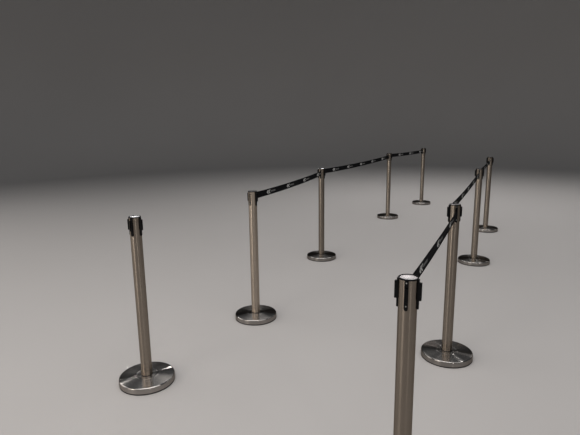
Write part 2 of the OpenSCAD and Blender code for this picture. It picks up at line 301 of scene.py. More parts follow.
setting = bpy.data.node_groups.new("set_on_posts", "GeometryNodeTree")
setting.interface.new_socket("Places", in_out="INPUT", socket_type="NodeSocketGeometry")
piece_input = setting.interface.new_socket("Piece", in_out="INPUT", socket_type="NodeSocketObject")
finish_input = setting.interface.new_socket("Finish", in_out="INPUT",
                                            socket_type="NodeSocketMaterial")
setting.interface.new_socket("Set Pieces", in_out="OUTPUT", socket_type="NodeSocketGeometry")
given = put(setting, "NodeGroupInput").outputs
source = put(setting, "GeometryNodeObjectInfo", {"Object": given["Piece"]})
turn = put(setting, "GeometryNodeInputNamedAttribute", {"Name": "turn"}, data_type="FLOAT_VECTOR")
copies = put(setting, "GeometryNodeInstanceOnPoints",
             {"Points": given["Places"], "Instance": source.outputs["Geometry"],
              "Rotation": turn.outputs["Attribute"]})
real = put(setting, "GeometryNodeRealizeInstances", {"Geometry": copies.outputs["Instances"]})
dressed = put(setting, "GeometryNodeSetMaterial",
              {"Geometry": real.outputs["Geometry"], "Material": given["Finish"]})
put(setting, "NodeGroupOutput", {"Set Pieces": dressed.outputs["Geometry"]})


def plain(piece):
    """The piece with its modifiers worked into its mesh, and none left on it."""
    bpy.context.view_layer.update()
    depsgraph = bpy.context.evaluated_depsgraph_get()
    mesh = bpy.data.meshes.new_from_object(piece.evaluated_get(depsgraph), depsgraph=depsgraph)
    piece.modifiers.clear()
    piece.data = mesh
    mesh.name = piece.name
    return piece


def set_out(name, piece, places, finish, slot, *nodes):
    """One piece of the part from copies of a piece at (x, y, z, turn), riding on the part.
    A fifth value, where a place has one, scales its metal's colour as a painted reflection,
    lighter or darker on that post."""
    points = bpy.data.meshes.new(name)
    points.from_pydata([p[:3] for p in places], [], [])
    turns = points.attributes.new("turn", "FLOAT_VECTOR", "POINT")
    turns.data.foreach_set("vector", [v for p in places for v in (0.0, 0.0, p[3])])
    lightness = points.attributes.new("lightness", "FLOAT", "POINT")
    lightness.data.foreach_set("value", [p[4] if len(p) > 4 else 1.0 for p in places])
    holder = placed(name, points)
    maker = holder.modifiers.new("setting", "NODES")
    maker.node_group = setting
    maker[piece_input.identifier] = piece
    maker[finish_input.identifier] = finish
    plain(holder)
    bpy.data.objects.remove(piece)
    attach(holder, "root")
    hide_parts(*nodes)


def effect(name, inputs, outputs):
    """A shader node group for one effect: its tree, its inputs and where its outputs go."""
    tree = bpy.data.node_groups.new(name, "ShaderNodeTree")
    for label, kind, value in inputs:
        socket = tree.interface.new_socket(label, in_out="INPUT", socket_type="NodeSocket" + kind)
        if value is not None:
            socket.default_value = value
    for label, kind in outputs:
        tree.interface.new_socket(label, in_out="OUTPUT", socket_type="NodeSocket" + kind)
    return tree, put(tree, "NodeGroupInput").outputs, put(tree, "NodeGroupOutput")


def bumped(tree, height, strength, depth, over=None):
    """A normal with a height worked into it, on top of another normal if there is one."""
    links = {"Height": height, "Strength": strength, "Distance": depth}
    if over:
        links["Normal"] = over
    return put(tree, "ShaderNodeBump", links).outputs["Normal"]


# dust that settles on upward faces and near the floor, and wipes and prints left by hands
settled, given, gives = effect(
    "settled_dust", [("Where", "Vector", None), ("Dust Top", "Float", 0.4),
                     ("Patch Size", "Float", 0.05)], [("Dust", "Float"), ("Smudge", "Float")])
normal = put(settled, "ShaderNodeNewGeometry").outputs["Normal"]
up = put(settled, "ShaderNodeSeparateXYZ", {0: normal}).outputs["Z"]
height = put(settled, "ShaderNodeSeparateXYZ", {0: given["Where"]}).outputs["Z"]
low = ranged(settled, height, 0.0, given["Dust Top"], 1.0, 0.25)
lying = ranged(settled, up, 0.2, 1.0, 0.25, 1.0)
specks = ranged(settled, noise(settled, given["Where"], 55.0, 5.0, 0.65), 0.38, 0.78)
patches = noise(settled, given["Where"], calc(settled, "DIVIDE", 1.0, given["Patch Size"]),
                3.0, distortion=0.6)
fill(settled, gives, {
    "Dust": calc(settled, "MULTIPLY", calc(settled, "MULTIPLY", low, lying), specks),
    "Smudge": ranged(settled, patches, 0.42, 0.72, interpolation_type="SMOOTHSTEP")})

# the fine skin of a moulding: a short grain, with slow dips where it cooled unevenly
moulded, given, gives = effect(
    "moulded_skin", [("Where", "Vector", None), ("Grain Size", "Float", 0.0006)],
    [("Height", "Float"), ("Tone", "Float")])
grain = noise(moulded, given["Where"], calc(moulded, "DIVIDE", 1.0, given["Grain Size"]), 2.0)
dips = noise(moulded, given["Where"], 28.0, 2.0)
fill(moulded, gives, {"Height": calc(moulded, "MULTIPLY_ADD", dips, 1.5, grain), "Tone": dips})


def moulded_finish(name, colour, worn, roughness, grain_size, depth, dust_colour, dust_share):
    """Black rubber or plastic: grained skin, paler where it is worn, dust where it lies."""
    finish, tree, surface = new_finish(name, 0, roughness)
    where = put(tree, "ShaderNodeTexCoord").outputs["Object"]
    skin = put(tree, "ShaderNodeGroup", {"Where": where, "Grain Size": grain_size},
               node_tree=moulded).outputs
    dirt = put(tree, "ShaderNodeGroup", {"Where": where}, node_tree=settled).outputs
    base = blend(tree, skin["Tone"], colour, worn)
    dusty = blend(tree, calc(tree, "MULTIPLY", dirt["Dust"], dust_share), base, dust_colour)
    rough = ranged(tree, dirt["Smudge"], 0.0, 1.0, roughness + 0.06, roughness - 0.06)
    fill(tree, surface, {"Base Color": dusty, "Roughness": rough, "Specular IOR Level": 0.06,
                         "Normal": bumped(tree, skin["Height"], 0.5, depth)})
    return finish


posts = post_places()
base_r, ring_w, ring_h, ring_lip, ledge_h = 0.160, 0.026, 0.007, 0.008, 0.004
ring_rubber = moulded_finish(
    "ring_rubber", colour=(0.005, 0.005, 0.005), worn=(0.011, 0.011, 0.010), roughness=0.62,
    grain_size=0.0012, depth=0.00025, dust_colour=(0.16, 0.145, 0.13), dust_share=0.06)
ring = turned("floor_ring", softened([
    (base_r - ring_w, 0, 0.0004), (base_r - 0.0006, 0, 0.0022), (base_r, 0.0034, 0.0006),
    (base_r - 0.0006, 0.0042, 0.0003), (base_r, 0.0050, 0.0004), (base_r, ring_h, 0.0006),
    (base_r - ring_lip, ring_h, 0), (base_r - ring_lip, ledge_h, 0),
    (base_r - ring_w, ledge_h, 0.0004)], cuts=3), 96)
set_out("rubber_rings", ring, posts, ring_rubber, "floor_ring_rubber", "floor_rings")

# Cast weight: a rough sand-cast iron disc, dipped in black paint, that holds each post down.
# It lies under the cover and shows only from below.
cast_iron, tree, surface = new_finish("cast_iron", 0.55, 0.62)
where = put(tree, "ShaderNodeTexCoord").outputs["Object"]
sand = noise(tree, where, 420.0, 6.0, 0.7)
pits = put(tree, "ShaderNodeTexVoronoi", {"Vector": where, "Scale": 160.0}).outputs["Distance"]
rusty = ranged(tree, noise(tree, where, 18.0, 5.0), 0.56, 0.72)
skin = calc(tree, "ADD", sand, calc(tree, "MULTIPLY", pits, 0.6))
fill(tree, surface, {
    "Base Color": blend(tree, rusty, (0.035, 0.035, 0.038), (0.13, 0.055, 0.025)),
    "Roughness": calc(tree, "ADD", calc(tree, "MULTIPLY", rusty, 0.25), 0.55),
    "Normal": bumped(tree, skin, 0.7, 0.0008)})


def dress(node, finish):
    """A CAD node that keeps its own shape gets its finish."""
    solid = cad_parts[node]
    solid.data.materials.clear()
    solid.data.materials.append(finish)


dress("cast_weights", cast_iron)

# Bolt, washer and plug: zinc plated steel that draws the tube down on the weight from below,
# and the pin that carries each belt drum in its head.
zinc, tree, surface = new_finish("zinc_plate", 1.0, 0.38)
where = put(tree, "ShaderNodeTexCoord").outputs["Object"]
spangle = put(tree, "ShaderNodeTexVoronoi", {"Vector": where, "Scale": 260.0}).outputs["Distance"]
haze = noise(tree, where, 90.0, 4.0)
fill(tree, surface, {"Base Color": blend(tree, haze, (0.30, 0.31, 0.31), (0.44, 0.43, 0.41)),
                     "Roughness": ranged(tree, spangle, 0.0, 1.0, 0.30, 0.5)})
for node in ("anchor_washers", "anchor_bolts", "foot_plugs", "spool_pins"):
    dress(node, zinc)

# Base cover: thin stainless sheet, drawn to a skirt with a round edge and spun to a shallow
# dome with one low pressed ring. It is polished and has the fine rings of the spinning tool.
spun, given, gives = effect(
    "spun_lines", [("Around", "Vector", None), ("Line Width", "Float", 0.0012),
                   ("Wander", "Float", 2.0)], [("Lines", "Float"), ("Broad", "Float")])
apart = put(spun, "ShaderNodeSeparateXYZ", {0: given["Around"]}).outputs
angle = calc(spun, "MULTIPLY", apart["X"], 2 * math.pi)


def on_circle(width):
    """A noise place that repeats after one turn, and changes fast only along the outline."""
    return put(spun, "ShaderNodeCombineXYZ", {
        "X": calc(spun, "MULTIPLY", calc(spun, "COSINE", angle), given["Wander"]),
        "Y": calc(spun, "MULTIPLY", calc(spun, "SINE", angle), given["Wander"]),
        "Z": calc(spun, "DIVIDE", apart["Y"], width)}).outputs[0]


broad_width = calc(spun, "MULTIPLY", given["Line Width"], 14.0)
fill(spun, gives, {"Lines": noise(spun, on_circle(given["Line Width"]), 1.0, 3.0, 0.7),
                   "Broad": noise(spun, on_circle(broad_width), 1.0, 2.0)})


def steel_finish(name, dark, light, roughness, spread, stretch, line_width, wobble, dust_share):
    """Stainless steel with its grain round the post, on a piece that has the around UV map."""
    finish, tree, surface = new_finish(name, 1.0, roughness)
    around = put(tree, "ShaderNodeUVMap", uv_map="around").outputs["UV"]
    where = put(tree, "ShaderNodeTexCoord").outputs["Object"]
    grain = put(tree, "ShaderNodeGroup", {"Around": around, "Line Width": line_width},
                node_tree=spun).outputs
    dirt = put(tree, "ShaderNodeGroup", {"Where": where, "Patch Size": 0.11},
               node_tree=settled).outputs
    tone = calc(tree, "ADD", calc(tree, "MULTIPLY", grain["Lines"], 0.6),
                calc(tree, "MULTIPLY", grain["Broad"], 0.4))
    # painted reflection: each post's steel colour is scaled lighter or darker to stand in for the
    # brighter or dimmer reflections it catches
    painted_reflection_scale = put(tree, "ShaderNodeAttribute", attribute_name="lightness").outputs["Fac"]
    metal = put(tree, "ShaderNodeVectorMath", {0: blend(tree, tone, dark, light), "Scale": painted_reflection_scale},
                operation="SCALE").outputs["Vector"]
    dust = calc(tree, "MULTIPLY", dirt["Dust"], dust_share)
    worn = calc(tree, "ADD", calc(tree, "MULTIPLY", dirt["Smudge"], spread),
                calc(tree, "MULTIPLY", grain["Lines"], spread))
    rough = calc(tree, "ADD", calc(tree, "ADD", worn, roughness - spread),
                 calc(tree, "MULTIPLY", dirt["Dust"], 0.05))
    swell = bumped(tree, noise(tree, where, 16.0, 1.0), 1.0, wobble)
    tangent = put(tree, "ShaderNodeTangent", direction_type="UV_MAP", uv_map="around").outputs[0]
    fill(tree, surface, {
        "Base Color": blend(tree, dust, metal, (0.33, 0.30, 0.27)), "Roughness": rough,
        "Specular Tint": (0.60, 0.56, 0.52, 1), "Anisotropic": stretch,
        "Anisotropic Rotation": 0.25, "Tangent": tangent,
        "Normal": bumped(tree, grain["Lines"], 0.35, 0.00001, swell)})
    return finish


tube_r, tube_play, edge_r, edge_h, dome_rise = 0.03175, 0.0008, 0.008, 0.041, 0.005
bead_r, bead_half, bead_h, sheet_t, skirt_z = 0.063, 0.006, 0.0012, 0.0015, 0.0071


def dome_height(r):
    """Height of the cover's upper face at a radius, with its low pressed ring."""
    share = (r - tube_r) / (base_r - edge_r - tube_r)
    ring = max(0.0, 1 - ((r - bead_r) / bead_half) ** 2) ** 2
    return edge_h + dome_rise * (1 - share * share) + bead_h * ring


radii = [base_r - edge_r - 0.0012] + list(np.linspace(base_r - edge_r - 0.010, bead_r + 0.010, 7))
radii += list(np.linspace(bead_r + 0.0065, bead_r - 0.0065, 11)) + [bead_r - 0.012, tube_r + 0.006]
outer = [(base_r, z) for z in (skirt_z, 0.012, 0.022, edge_h - edge_r - 0.002)]
outer += [(base_r - edge_r + edge_r * math.cos(a), edge_h - edge_r + edge_r * math.sin(a))
          for a in np.linspace(0, math.radians(86), 13)]
outer += [(r, dome_height(r)) for r in radii] + [(tube_r + tube_play, dome_height(tube_r))]
inner = [(tube_r + tube_play, dome_height(tube_r) - sheet_t)]
inner += [(r, dome_height(r) - sheet_t) for r in radii[::-2]]
inner += [(base_r - edge_r + (edge_r - sheet_t) * math.cos(a),
           edge_h - edge_r + (edge_r - sheet_t) * math.sin(a))
          for a in np.linspace(math.radians(84), 0, 5)]
inner += [(base_r - sheet_t, skirt_z)]
cover_steel = steel_finish(
    "cover_steel", dark=(0.32, 0.295, 0.275), light=(0.45, 0.42, 0.395), roughness=0.19,
    spread=0.02, stretch=1.0, line_width=0.0011, wobble=0.00002, dust_share=0.06)
# painted reflection: how much lighter or darker each post's cover steel is painted than the
# others, in the order of the posts
cover_painted_reflection = (1.08, 1.0, 0.9, 1.0, 1.0, 1.0, 0.86, 0.95, 1.0)
set_out("spun_covers", turned("base_cover", outer + inner, 120),
        [(*place, tone) for place, tone in zip(posts, cover_painted_reflection)], cover_steel,
        "cover_steel", "base_covers")

# Foot seal: a small bead of black rubber that closes the joint between cover and tube. It is
# moulded as a ring and pushed down over the tube until it lies on the dome.
seal_z, seal_h, seal_w, seal_grip = 0.0461, 0.0023, 0.0031, 0.0001
seal = turned("foot_seal", softened([
    (tube_r + seal_grip, seal_z, 0), (tube_r + seal_w, seal_z, 0.0003),
    (tube_r + seal_w - 0.0005, seal_z + 0.0015, 0.0008),
    (tube_r + seal_grip, seal_z + seal_h, 0)]), 72)
seal_rubber = moulded_finish(
    "seal_rubber", colour=(0.005, 0.005, 0.005), worn=(0.012, 0.011, 0.010), roughness=0.5,
    grain_size=0.0008, depth=0.0001, dust_colour=(0.16, 0.145, 0.13), dust_share=0.15)
set_out("foot_beads", seal, posts, seal_rubber, "seal_rubber", "foot_seals")

# Post tube: stainless tube, brushed round its length on a belt grinder. Its top has four
# slots, round at their lower ends, for the belt mouth and the three receivers.
tube_low, tube_top = reach("post_tubes")
tube_wall, slot_half, slot_z = 0.0015, 0.007, reach("mouth_inserts")[0]


def tube_side(made, uv, radius, rows_below, wide=8, plain_columns=22):
    """One skin of the slotted tube, as quads. Returns its corners by place, for the walls."""
    corners = {}
    edge_angle = math.asin(slot_half / radius)
    stops = [math.asin(slot_half * s / radius) for s in np.linspace(-1, 1, wide + 1)]
    stops += list(np.linspace(edge_angle, math.pi / 2 - edge_angle, plain_columns + 1))[1:-1]

    def corner(column, z, tag):
        quarter, place = divmod(column, len(stops))
        key = (column % (4 * len(stops)), tag)
        if key not in corners:
            a = (quarter % 4) * math.pi / 2 + stops[place]
            corners[key] = made.verts.new((radius * math.cos(a), radius * math.sin(a), z))
        return corners[key]

    def quad(column, low, high):
        """low and high are (height, tag) at this column and at the next."""
        keys = [(column, low[0]), (column + 1, low[1]), (column + 1, high[1]), (column, high[0])]
        face = made.faces.new([corner(c, z, tag) for c, (z, tag) in keys])
        for loop, (c, (z, _)) in zip(face.loops, keys):
            quarter, place = divmod(c, len(stops))
            loop[uv].uv = (quarter / 4 + stops[place] / (2 * math.pi), z)

    for column in range(4 * len(stops)):
        place = column % len(stops)
        for k, (a, b) in enumerate(zip(rows_below, rows_below[1:])):
            quad(column, [(a, k)] * 2, [(b, k + 1)] * 2)
        base = (rows_below[-1], len(rows_below) - 1)
        if place < wide:
            ends = []
            for s in (place, place + 1):
                y = slot_half * (-1 + 2 * s / wide)
                ends.append((slot_z + slot_half - math.sqrt(max(0, slot_half ** 2 - y * y)),
                             "side" if s in (0, wide) else "arc"))
            quad(column, [base] * 2, ends)
        else:
            side, high = (slot_z + slot_half, "side"), (tube_top - 0.03, "high")
            quad(column, [base] * 2, [side] * 2)
            quad(column, [side] * 2, [high] * 2)
            quad(column, [high] * 2, [(tube_top, "top")] * 2)
    return corners


made = bmesh.new()
uv = made.loops.layers.uv.new("around")
levels = [tube_low, 0.048, 0.1, 0.2, 0.35, 0.5, 0.65, 0.8, slot_z - 0.004]
skins = [tube_side(made, uv, r, levels) for r in (tube_r, tube_r - tube_wall)]
for edge in [e for e in made.edges if len(e.link_faces) == 1]:
    keys = [k for v in edge.verts for k, w in skins[0].items() if w is v]
    if len(keys) == 2:
        wall = made.faces.new([skins[0][keys[0]], skins[0][keys[1]],
                               skins[1][keys[1]], skins[1][keys[0]]])
        for loop in wall.loops:
            loop[uv].uv = (0.5, loop.vert.co.z)
tube_steel = steel_finish(
    "tube_steel", dark=(0.28, 0.236, 0.195), light=(0.39, 0.335, 0.28), roughness=0.25,
    spread=0.03, stretch=0.90, line_width=0.0013, wobble=0.00002, dust_share=0.10)
# painted reflection: how much lighter or darker each post's tube steel is painted than the others,
# in the order of the posts
tube_painted_reflection = (0.98, 1.5, 0.8, 1.0, 1.0, 0.87, 0.9, 1.0, 1.0)
set_out("slotted_tubes", keep("slotted_tube", made),
        [(*place, tone) for place, tone in zip(posts, tube_painted_reflection)], tube_steel, "tube_steel",
        "post_tubes")

# Head core: the black nylon moulding inside each tube, with pockets for the strips and a
# chamber for the drum. Little of it shows, through the belt mouth.
head_plastic = moulded_finish(
    "head_plastic", colour=(0.0035, 0.0035, 0.004), worn=(0.009, 0.009, 0.0095), roughness=0.42,
    grain_size=0.0007, depth=0.00012, dust_colour=(0.14, 0.13, 0.12), dust_share=0.05)
dress("head_cores", head_plastic)


# Mouth strip: a flush black nylon strip in the first slot, curved as the tube is, with the
# tall mouth that the belt comes out of. Two small screws hold it to the core.
def prism(name, outline, low, high, way="Z"):
    """A straight solid from a closed outline: in plan and pushed up, or in (across, up)
    and pushed out along X."""
    made = bmesh.new()
    spot = (lambda a, b, c: (a, b, c)) if way == "Z" else (lambda a, b, c: (c, a, b))
    ends = [[made.verts.new(spot(a, b, c)) for a, b in outline] for c in (low, high)]
    for end in ends:
        made.faces.new(end)
    for k in range(len(outline)):
        made.faces.new([ends[0][k - 1], ends[0][k], ends[1][k], ends[1][k - 1]])
    return keep(name, made)


def block(name, near, far, half, low, high):
    """A plain block in plan: from near to far along X, half a width each way, low to high."""
    return prism(name, [(near, -half), (far, -half), (far, half), (near, half)], low, high)


def join_or_cut(body, *tools):
    """Works (operation, solid) tools into a body by exact boolean, and removes them."""
    for operation, tool in tools:
        step = body.modifiers.new(operation, "BOOLEAN")
        step.operation, step.object, step.solver = operation, tool, "EXACT"
        plain(body)
        bpy.data.objects.remove(tool)
    return body


def edged(piece, width, cuts=2):
    """Takes the hard edges off a moulded piece and keeps its flats flat."""
    cleaned = bmesh.new()
    cleaned.from_mesh(piece.data)
    bmesh.ops.remove_doubles(cleaned, verts=cleaned.verts, dist=1e-6)
    bmesh.ops.dissolve_limit(cleaned, angle_limit=math.radians(1), verts=cleaned.verts,
                             edges=cleaned.edges)
    bmesh.ops.recalc_face_normals(cleaned, faces=cleaned.faces)
    for edge in cleaned.edges:
        edge.smooth = True
    for face in cleaned.faces:
        face.smooth = True
    cleaned.to_mesh(piece.data)
    cleaned.free()
    bevel = piece.modifiers.new("edges", "BEVEL")
    bevel.width, bevel.segments, bevel.limit_method = width, cuts, "ANGLE"
    bevel.angle_limit = math.radians(32)
    bevel.harden_normals = True
    return plain(piece)


pocket_r, mouth_face = tube_r - 0.00475, tube_r + 0.0004
mouth_z, mouth_half, mouth_h, mouth_round = reach("belt_spools")[0], 0.0055, 0.0535, 0.001
strip_top, strip_round_z, round_low, round_high = tube_top - 0.0003, slot_z + slot_half, 0.87, 1.0
strip = [(-slot_half, strip_top), (-slot_half, strip_round_z)]
strip += [(-slot_half * math.cos(a), strip_round_z - slot_half * math.sin(a))
          for a in np.linspace(0, math.pi, 17)[1:-1]]
strip += [(slot_half, strip_round_z), (slot_half, strip_top)]
insert = join_or_cut(
    prism("mouth_strip", strip, pocket_r, mouth_face + 0.001, "X"),
    ("INTERSECT", turned("round", [(0, round_low), (mouth_face, round_low),
                                   (mouth_face, round_high), (0, round_high)], 192)),
    ("DIFFERENCE", prism("mouth", softened([
        (-mouth_half, mouth_z, mouth_round), (mouth_half, mouth_z, mouth_round),
        (mouth_half, mouth_z + mouth_h, mouth_round),
        (-mouth_half, mouth_z + mouth_h, mouth_round)]), 0.02, 0.04, "X")))
set_out("mouth_strips", edged(insert, width=0.0005), posts, head_plastic, "head_plastic",
        "mouth_inserts")


# Strip screws: small bright pan-head screws of zinc plated steel with a cross recess. They go
# into the core above and below the mouth, and hold the mouth strip in its slot.
def screw_at(height):
    """One screw that faces out of the mouth strip at a height."""
    shank_r, shank_end, recess_long, recess_half = 0.0013, -0.0046, 0.0013, 0.0003
    head = turned("screw", [(0, shank_end), (shank_r, shank_end), (shank_r, 0), (0.0025, 0),
                            (0.0024, 0.0004), (0.0018, 0.0007), (0, 0.0008)], 24)
    join_or_cut(head, *[("DIFFERENCE", block("recess", -a, a, b, 0.0003, 0.002))
                        for a, b in ((recess_long, recess_half), (recess_half, recess_long))])
    head.data.transform(Matrix.Translation((mouth_face, 0, height))
                        @ Matrix.Rotation(math.radians(90), 4, "Y"))
    return head


def merged(first, *others):
    """Several solids as one piece."""
    whole = bmesh.new()
    for solid in (first, *others):
        whole.from_mesh(solid.data)
    whole.to_mesh(first.data)
    whole.free()
    for solid in others:
        bpy.data.objects.remove(solid)
    return first


screw_r, (screw_low, screw_high) = 0.0025, reach("insert_screws")
screws = merged(screw_at(screw_low + screw_r), screw_at(screw_high - screw_r))
set_out("strip_screws", screws, posts, zinc, "zinc_steel", "insert_screws")

# Receivers: on the three other sides, a black strip with a proud block, moulded in nylon in
# one piece. The block has an undercut slot, open at its top, that a belt end is dropped into.
block_x, block_top, block_low = tube_r + 0.013, tube_top - 0.012, tube_top - 0.072
hook_drop, lip_t, cavity_d, cavity_half, neck_half = 0.046, 0.0026, 0.005, 0.00475, 0.0025
lip_x, slot_low, slot_high = block_x - lip_t, block_top - hook_drop, block_top + 0.002
receiver = join_or_cut(
    prism("receiver", strip, pocket_r, tube_r + 0.005, "X"),
    ("UNION", prism("block", softened([
        (tube_r, -slot_half, 0), (block_x, -slot_half, 0.0022), (block_x, slot_half, 0.0022),
        (tube_r, slot_half, 0)], cuts=5), block_low, block_top)),
    ("DIFFERENCE", block("neck", lip_x - 0.001, block_x + 0.001, neck_half, slot_low, slot_high)),
    ("DIFFERENCE", block("cavity", lip_x - cavity_d, lip_x, cavity_half, slot_low, slot_high)))
sides = [(x, y, z, turn + math.radians(side)) for x, y, z, turn in posts
         for side in (90, 180, 270)]
set_out("receiver_blocks", edged(receiver, width=0.0006), sides, head_plastic, "head_plastic",
        "receivers")

# Rim and disc: a black nylon rim is pressed over the tube's end and closes it. A pale satin
# disc of thin metal, turned on its face, is let into the rim.
post_h, rim_r, disc_r, rim_w = reach("top_rims")[1], tube_r + 0.0018, 0.0285, 0.005
disc_z, disc_top = tube_top + 0.0016, tube_top + 0.0032
rim = turned("top_rim", softened([
    (disc_r - rim_w, tube_top, 0), (rim_r - 0.0004, tube_top, 0.0003),
    (rim_r, tube_top + 0.001, 0.0004), (rim_r, post_h, 0.0016), (disc_r + 0.0003, post_h, 0.0003),
    (disc_r, disc_top, 0), (disc_r, disc_z, 0), (disc_r - rim_w, disc_z, 0)]), 96)
set_out("head_rims", rim, posts, head_plastic, "head_plastic", "top_rims")
disc = turned("cap_disc", [(0, disc_z), (disc_r, disc_z)] + softened([
    (disc_r, disc_z + 0.0001, 0), (disc_r, disc_top, 0.0004),
    (0.001, disc_top, 0)])[1:] + [(0, disc_top)], 96)
cap_silver, tree, surface = new_finish("cap_silver", 1.0, 0.3)
around = put(tree, "ShaderNodeUVMap", uv_map="around").outputs["UV"]
where = put(tree, "ShaderNodeTexCoord").outputs["Object"]
lines = put(tree, "ShaderNodeGroup", {"Around": around, "Line Width": 0.0006},
            node_tree=spun).outputs["Lines"]
smudge = put(tree, "ShaderNodeGroup", {"Where": where, "Patch Size": 0.02},
             node_tree=settled).outputs["Smudge"]
satin = blend(tree, lines, (0.78, 0.74, 0.73), (0.90, 0.87, 0.86))
fill(tree, surface, {
    "Base Color": blend(tree, calc(tree, "MULTIPLY", smudge, 0.25), satin, (0.58, 0.56, 0.54)),
    "Roughness": calc(tree, "ADD", calc(tree, "MULTIPLY", smudge, 0.06), 0.27),
    "Normal": bumped(tree, lines, 0.12, 0.00002)})
set_out("pale_discs", disc, posts, cap_silver, "cap_silver", "cap_discs")

# Belt ends: a black nylon clip on each belt, with a flat T-shaped hook. Three clips are
# parked in their own mouths, and six hang in the receiver of the next post.
clip_h, clip_half, clip_len, clip_x, nose_half = 0.052, 0.005, 0.0219, 0.0079, 0.0023
slit_d, slit_half, slit_z = 0.008, 0.0009, 0.0008
hook_z0, hook_z1, hook_half, tongue_t, tongue_half = 0.002, 0.046, 0.0022, 0.0044, 0.00445
clip = join_or_cut(
    prism("clip", softened([
        (clip_x, -clip_half, 0.0018), (clip_len - 0.003, -clip_half, 0.001),
        (clip_len, -nose_half, 0.0005), (clip_len, nose_half, 0.0005),
        (clip_len - 0.003, clip_half, 0.001), (clip_x, clip_half, 0.0018)]), 0, clip_h),
    ("DIFFERENCE", block("webbing_slit", clip_len - slit_d, clip_len + 0.001, slit_half,
                         slit_z, clip_h - slit_z)),
    ("UNION", block("hook_neck", 0.001, clip_x + 0.001, hook_half, hook_z0, hook_z1)),
    ("UNION", block("hook_tongue", 0.0, tongue_t, tongue_half, hook_z0, hook_z1)))
edged(clip, width=0.0005)
parked_clip = placed("parked_clip", clip.data.copy())
parked_clip.data.transform(Matrix.Translation((tube_r + 0.0012, 0, mouth_z))
                           @ Matrix.Rotation(math.pi, 4, "Z"))
parked = [posts[k] for k in (0, 1, 5)]
set_out("clips_parked", parked_clip, parked, head_plastic, "head_plastic", "parked_clips")
hook_z, tongue_x = reach("hooked_clips")[0], lip_t + cavity_d - 0.0003
clip.data.transform(Matrix.Rotation(math.pi, 4, "Z")
                    @ Matrix.Translation((block_x - tongue_x, 0, hook_z)))
# each drawn belt: the post that it comes from and the post that holds its end
belt_runs = [(2, 1), (3, 2), (4, 3), (6, 5), (7, 6), (8, 7)]
held = [posts[holder] for _, holder in belt_runs]
set_out("clips_hooked", clip, held, head_plastic, "head_plastic", "hooked_clips")

# Wound belts: the rest of each belt, wound tight on its drum inside the head between two
# thin nylon flanges. The pack is almost full, since even a drawn belt leaves some turns on.
belt_w = 0.050
ribbed, given, gives = effect(
    "webbing_weave", [("Across And Along", "Vector", None), ("Rib", "Float", 0.0016)],
    [("Height", "Float"), ("Tone", "Float")])
apart = put(ribbed, "ShaderNodeSeparateXYZ", {0: given["Across And Along"]}).outputs
steps_across = calc(ribbed, "DIVIDE", apart["X"], given["Rib"])
steps_along = calc(ribbed, "DIVIDE", apart["Y"], given["Rib"])
lean = calc(ribbed, "ABSOLUTE", calc(ribbed, "SUBTRACT", calc(
    ribbed, "FRACT", calc(ribbed, "MULTIPLY", steps_across, 0.0625)), 0.5))
twill = calc(ribbed, "SINE", calc(ribbed, "MULTIPLY", calc(
    ribbed, "ADD", steps_along, calc(ribbed, "MULTIPLY", lean, 16.0)), 2 * math.pi))
yarns = calc(ribbed, "SINE", calc(ribbed, "MULTIPLY", steps_across, 4 * math.pi))
fluff = noise(ribbed, given["Across And Along"], 900.0, 3.0)
weave = calc(ribbed, "MULTIPLY_ADD", twill, 0.5,
             calc(ribbed, "MULTIPLY_ADD", yarns, 0.25, fluff))
# Tone is the weave's height as colour: painted shade, darker in the hollows between the yarns and
# lighter on the raised yarns
fill(ribbed, gives, {"Height": weave, "Tone": ranged(ribbed, weave, -0.2, 1.2)})


def webbing_finish(name, printed):
    """Black polyester webbing on a piece whose UV map holds metres across and along."""
    finish, tree, surface = new_finish(name, 0, 0.72)
    along = put(tree, "ShaderNodeUVMap", uv_map="cloth").outputs["UV"]
    where = put(tree, "ShaderNodeTexCoord").outputs["Object"]
    cloth = put(tree, "ShaderNodeGroup", {"Across And Along": along}, node_tree=ribbed).outputs
    dust = put(tree, "ShaderNodeGroup", {"Where": where}, node_tree=settled).outputs["Dust"]
    part = put(tree, "ShaderNodeSeparateXYZ", {0: along}).outputs
    off_middle = calc(tree, "ABSOLUTE", calc(tree, "SUBTRACT", part["X"], belt_w / 2))
    middle = ranged(tree, off_middle, 0.0155, 0.0170, 1.0, 0.0)
    band = blend(tree, middle, (0.002, 0.002, 0.0024), (0.0065, 0.0065, 0.0075))
    # painted shade of the weave: raised yarns lighter, hollows darker
    colour = blend(tree, calc(tree, "MULTIPLY", cloth["Tone"], 0.12), band, (0.022, 0.022, 0.025))
    if printed:
        # the print is also painted darker in the weave's hollows and lighter on its raised yarns
        inked = calc(tree, "ADD", calc(tree, "MULTIPLY", cloth["Tone"], 0.4), 0.7)
        mark = chevron_mark(tree, part["X"], part["Y"])
        colour = blend(tree, calc(tree, "MULTIPLY", mark, inked), colour, (0.64, 0.63, 0.61))
    lint = blend(tree, calc(tree, "MULTIPLY", dust, 0.03), colour, (0.30, 0.28, 0.26))
    fill(tree, surface, {"Base Color": lint, "Specular IOR Level": 0.03,
                         "Normal": bumped(tree, cloth["Height"], 0.6, 0.0003)})
    return finish


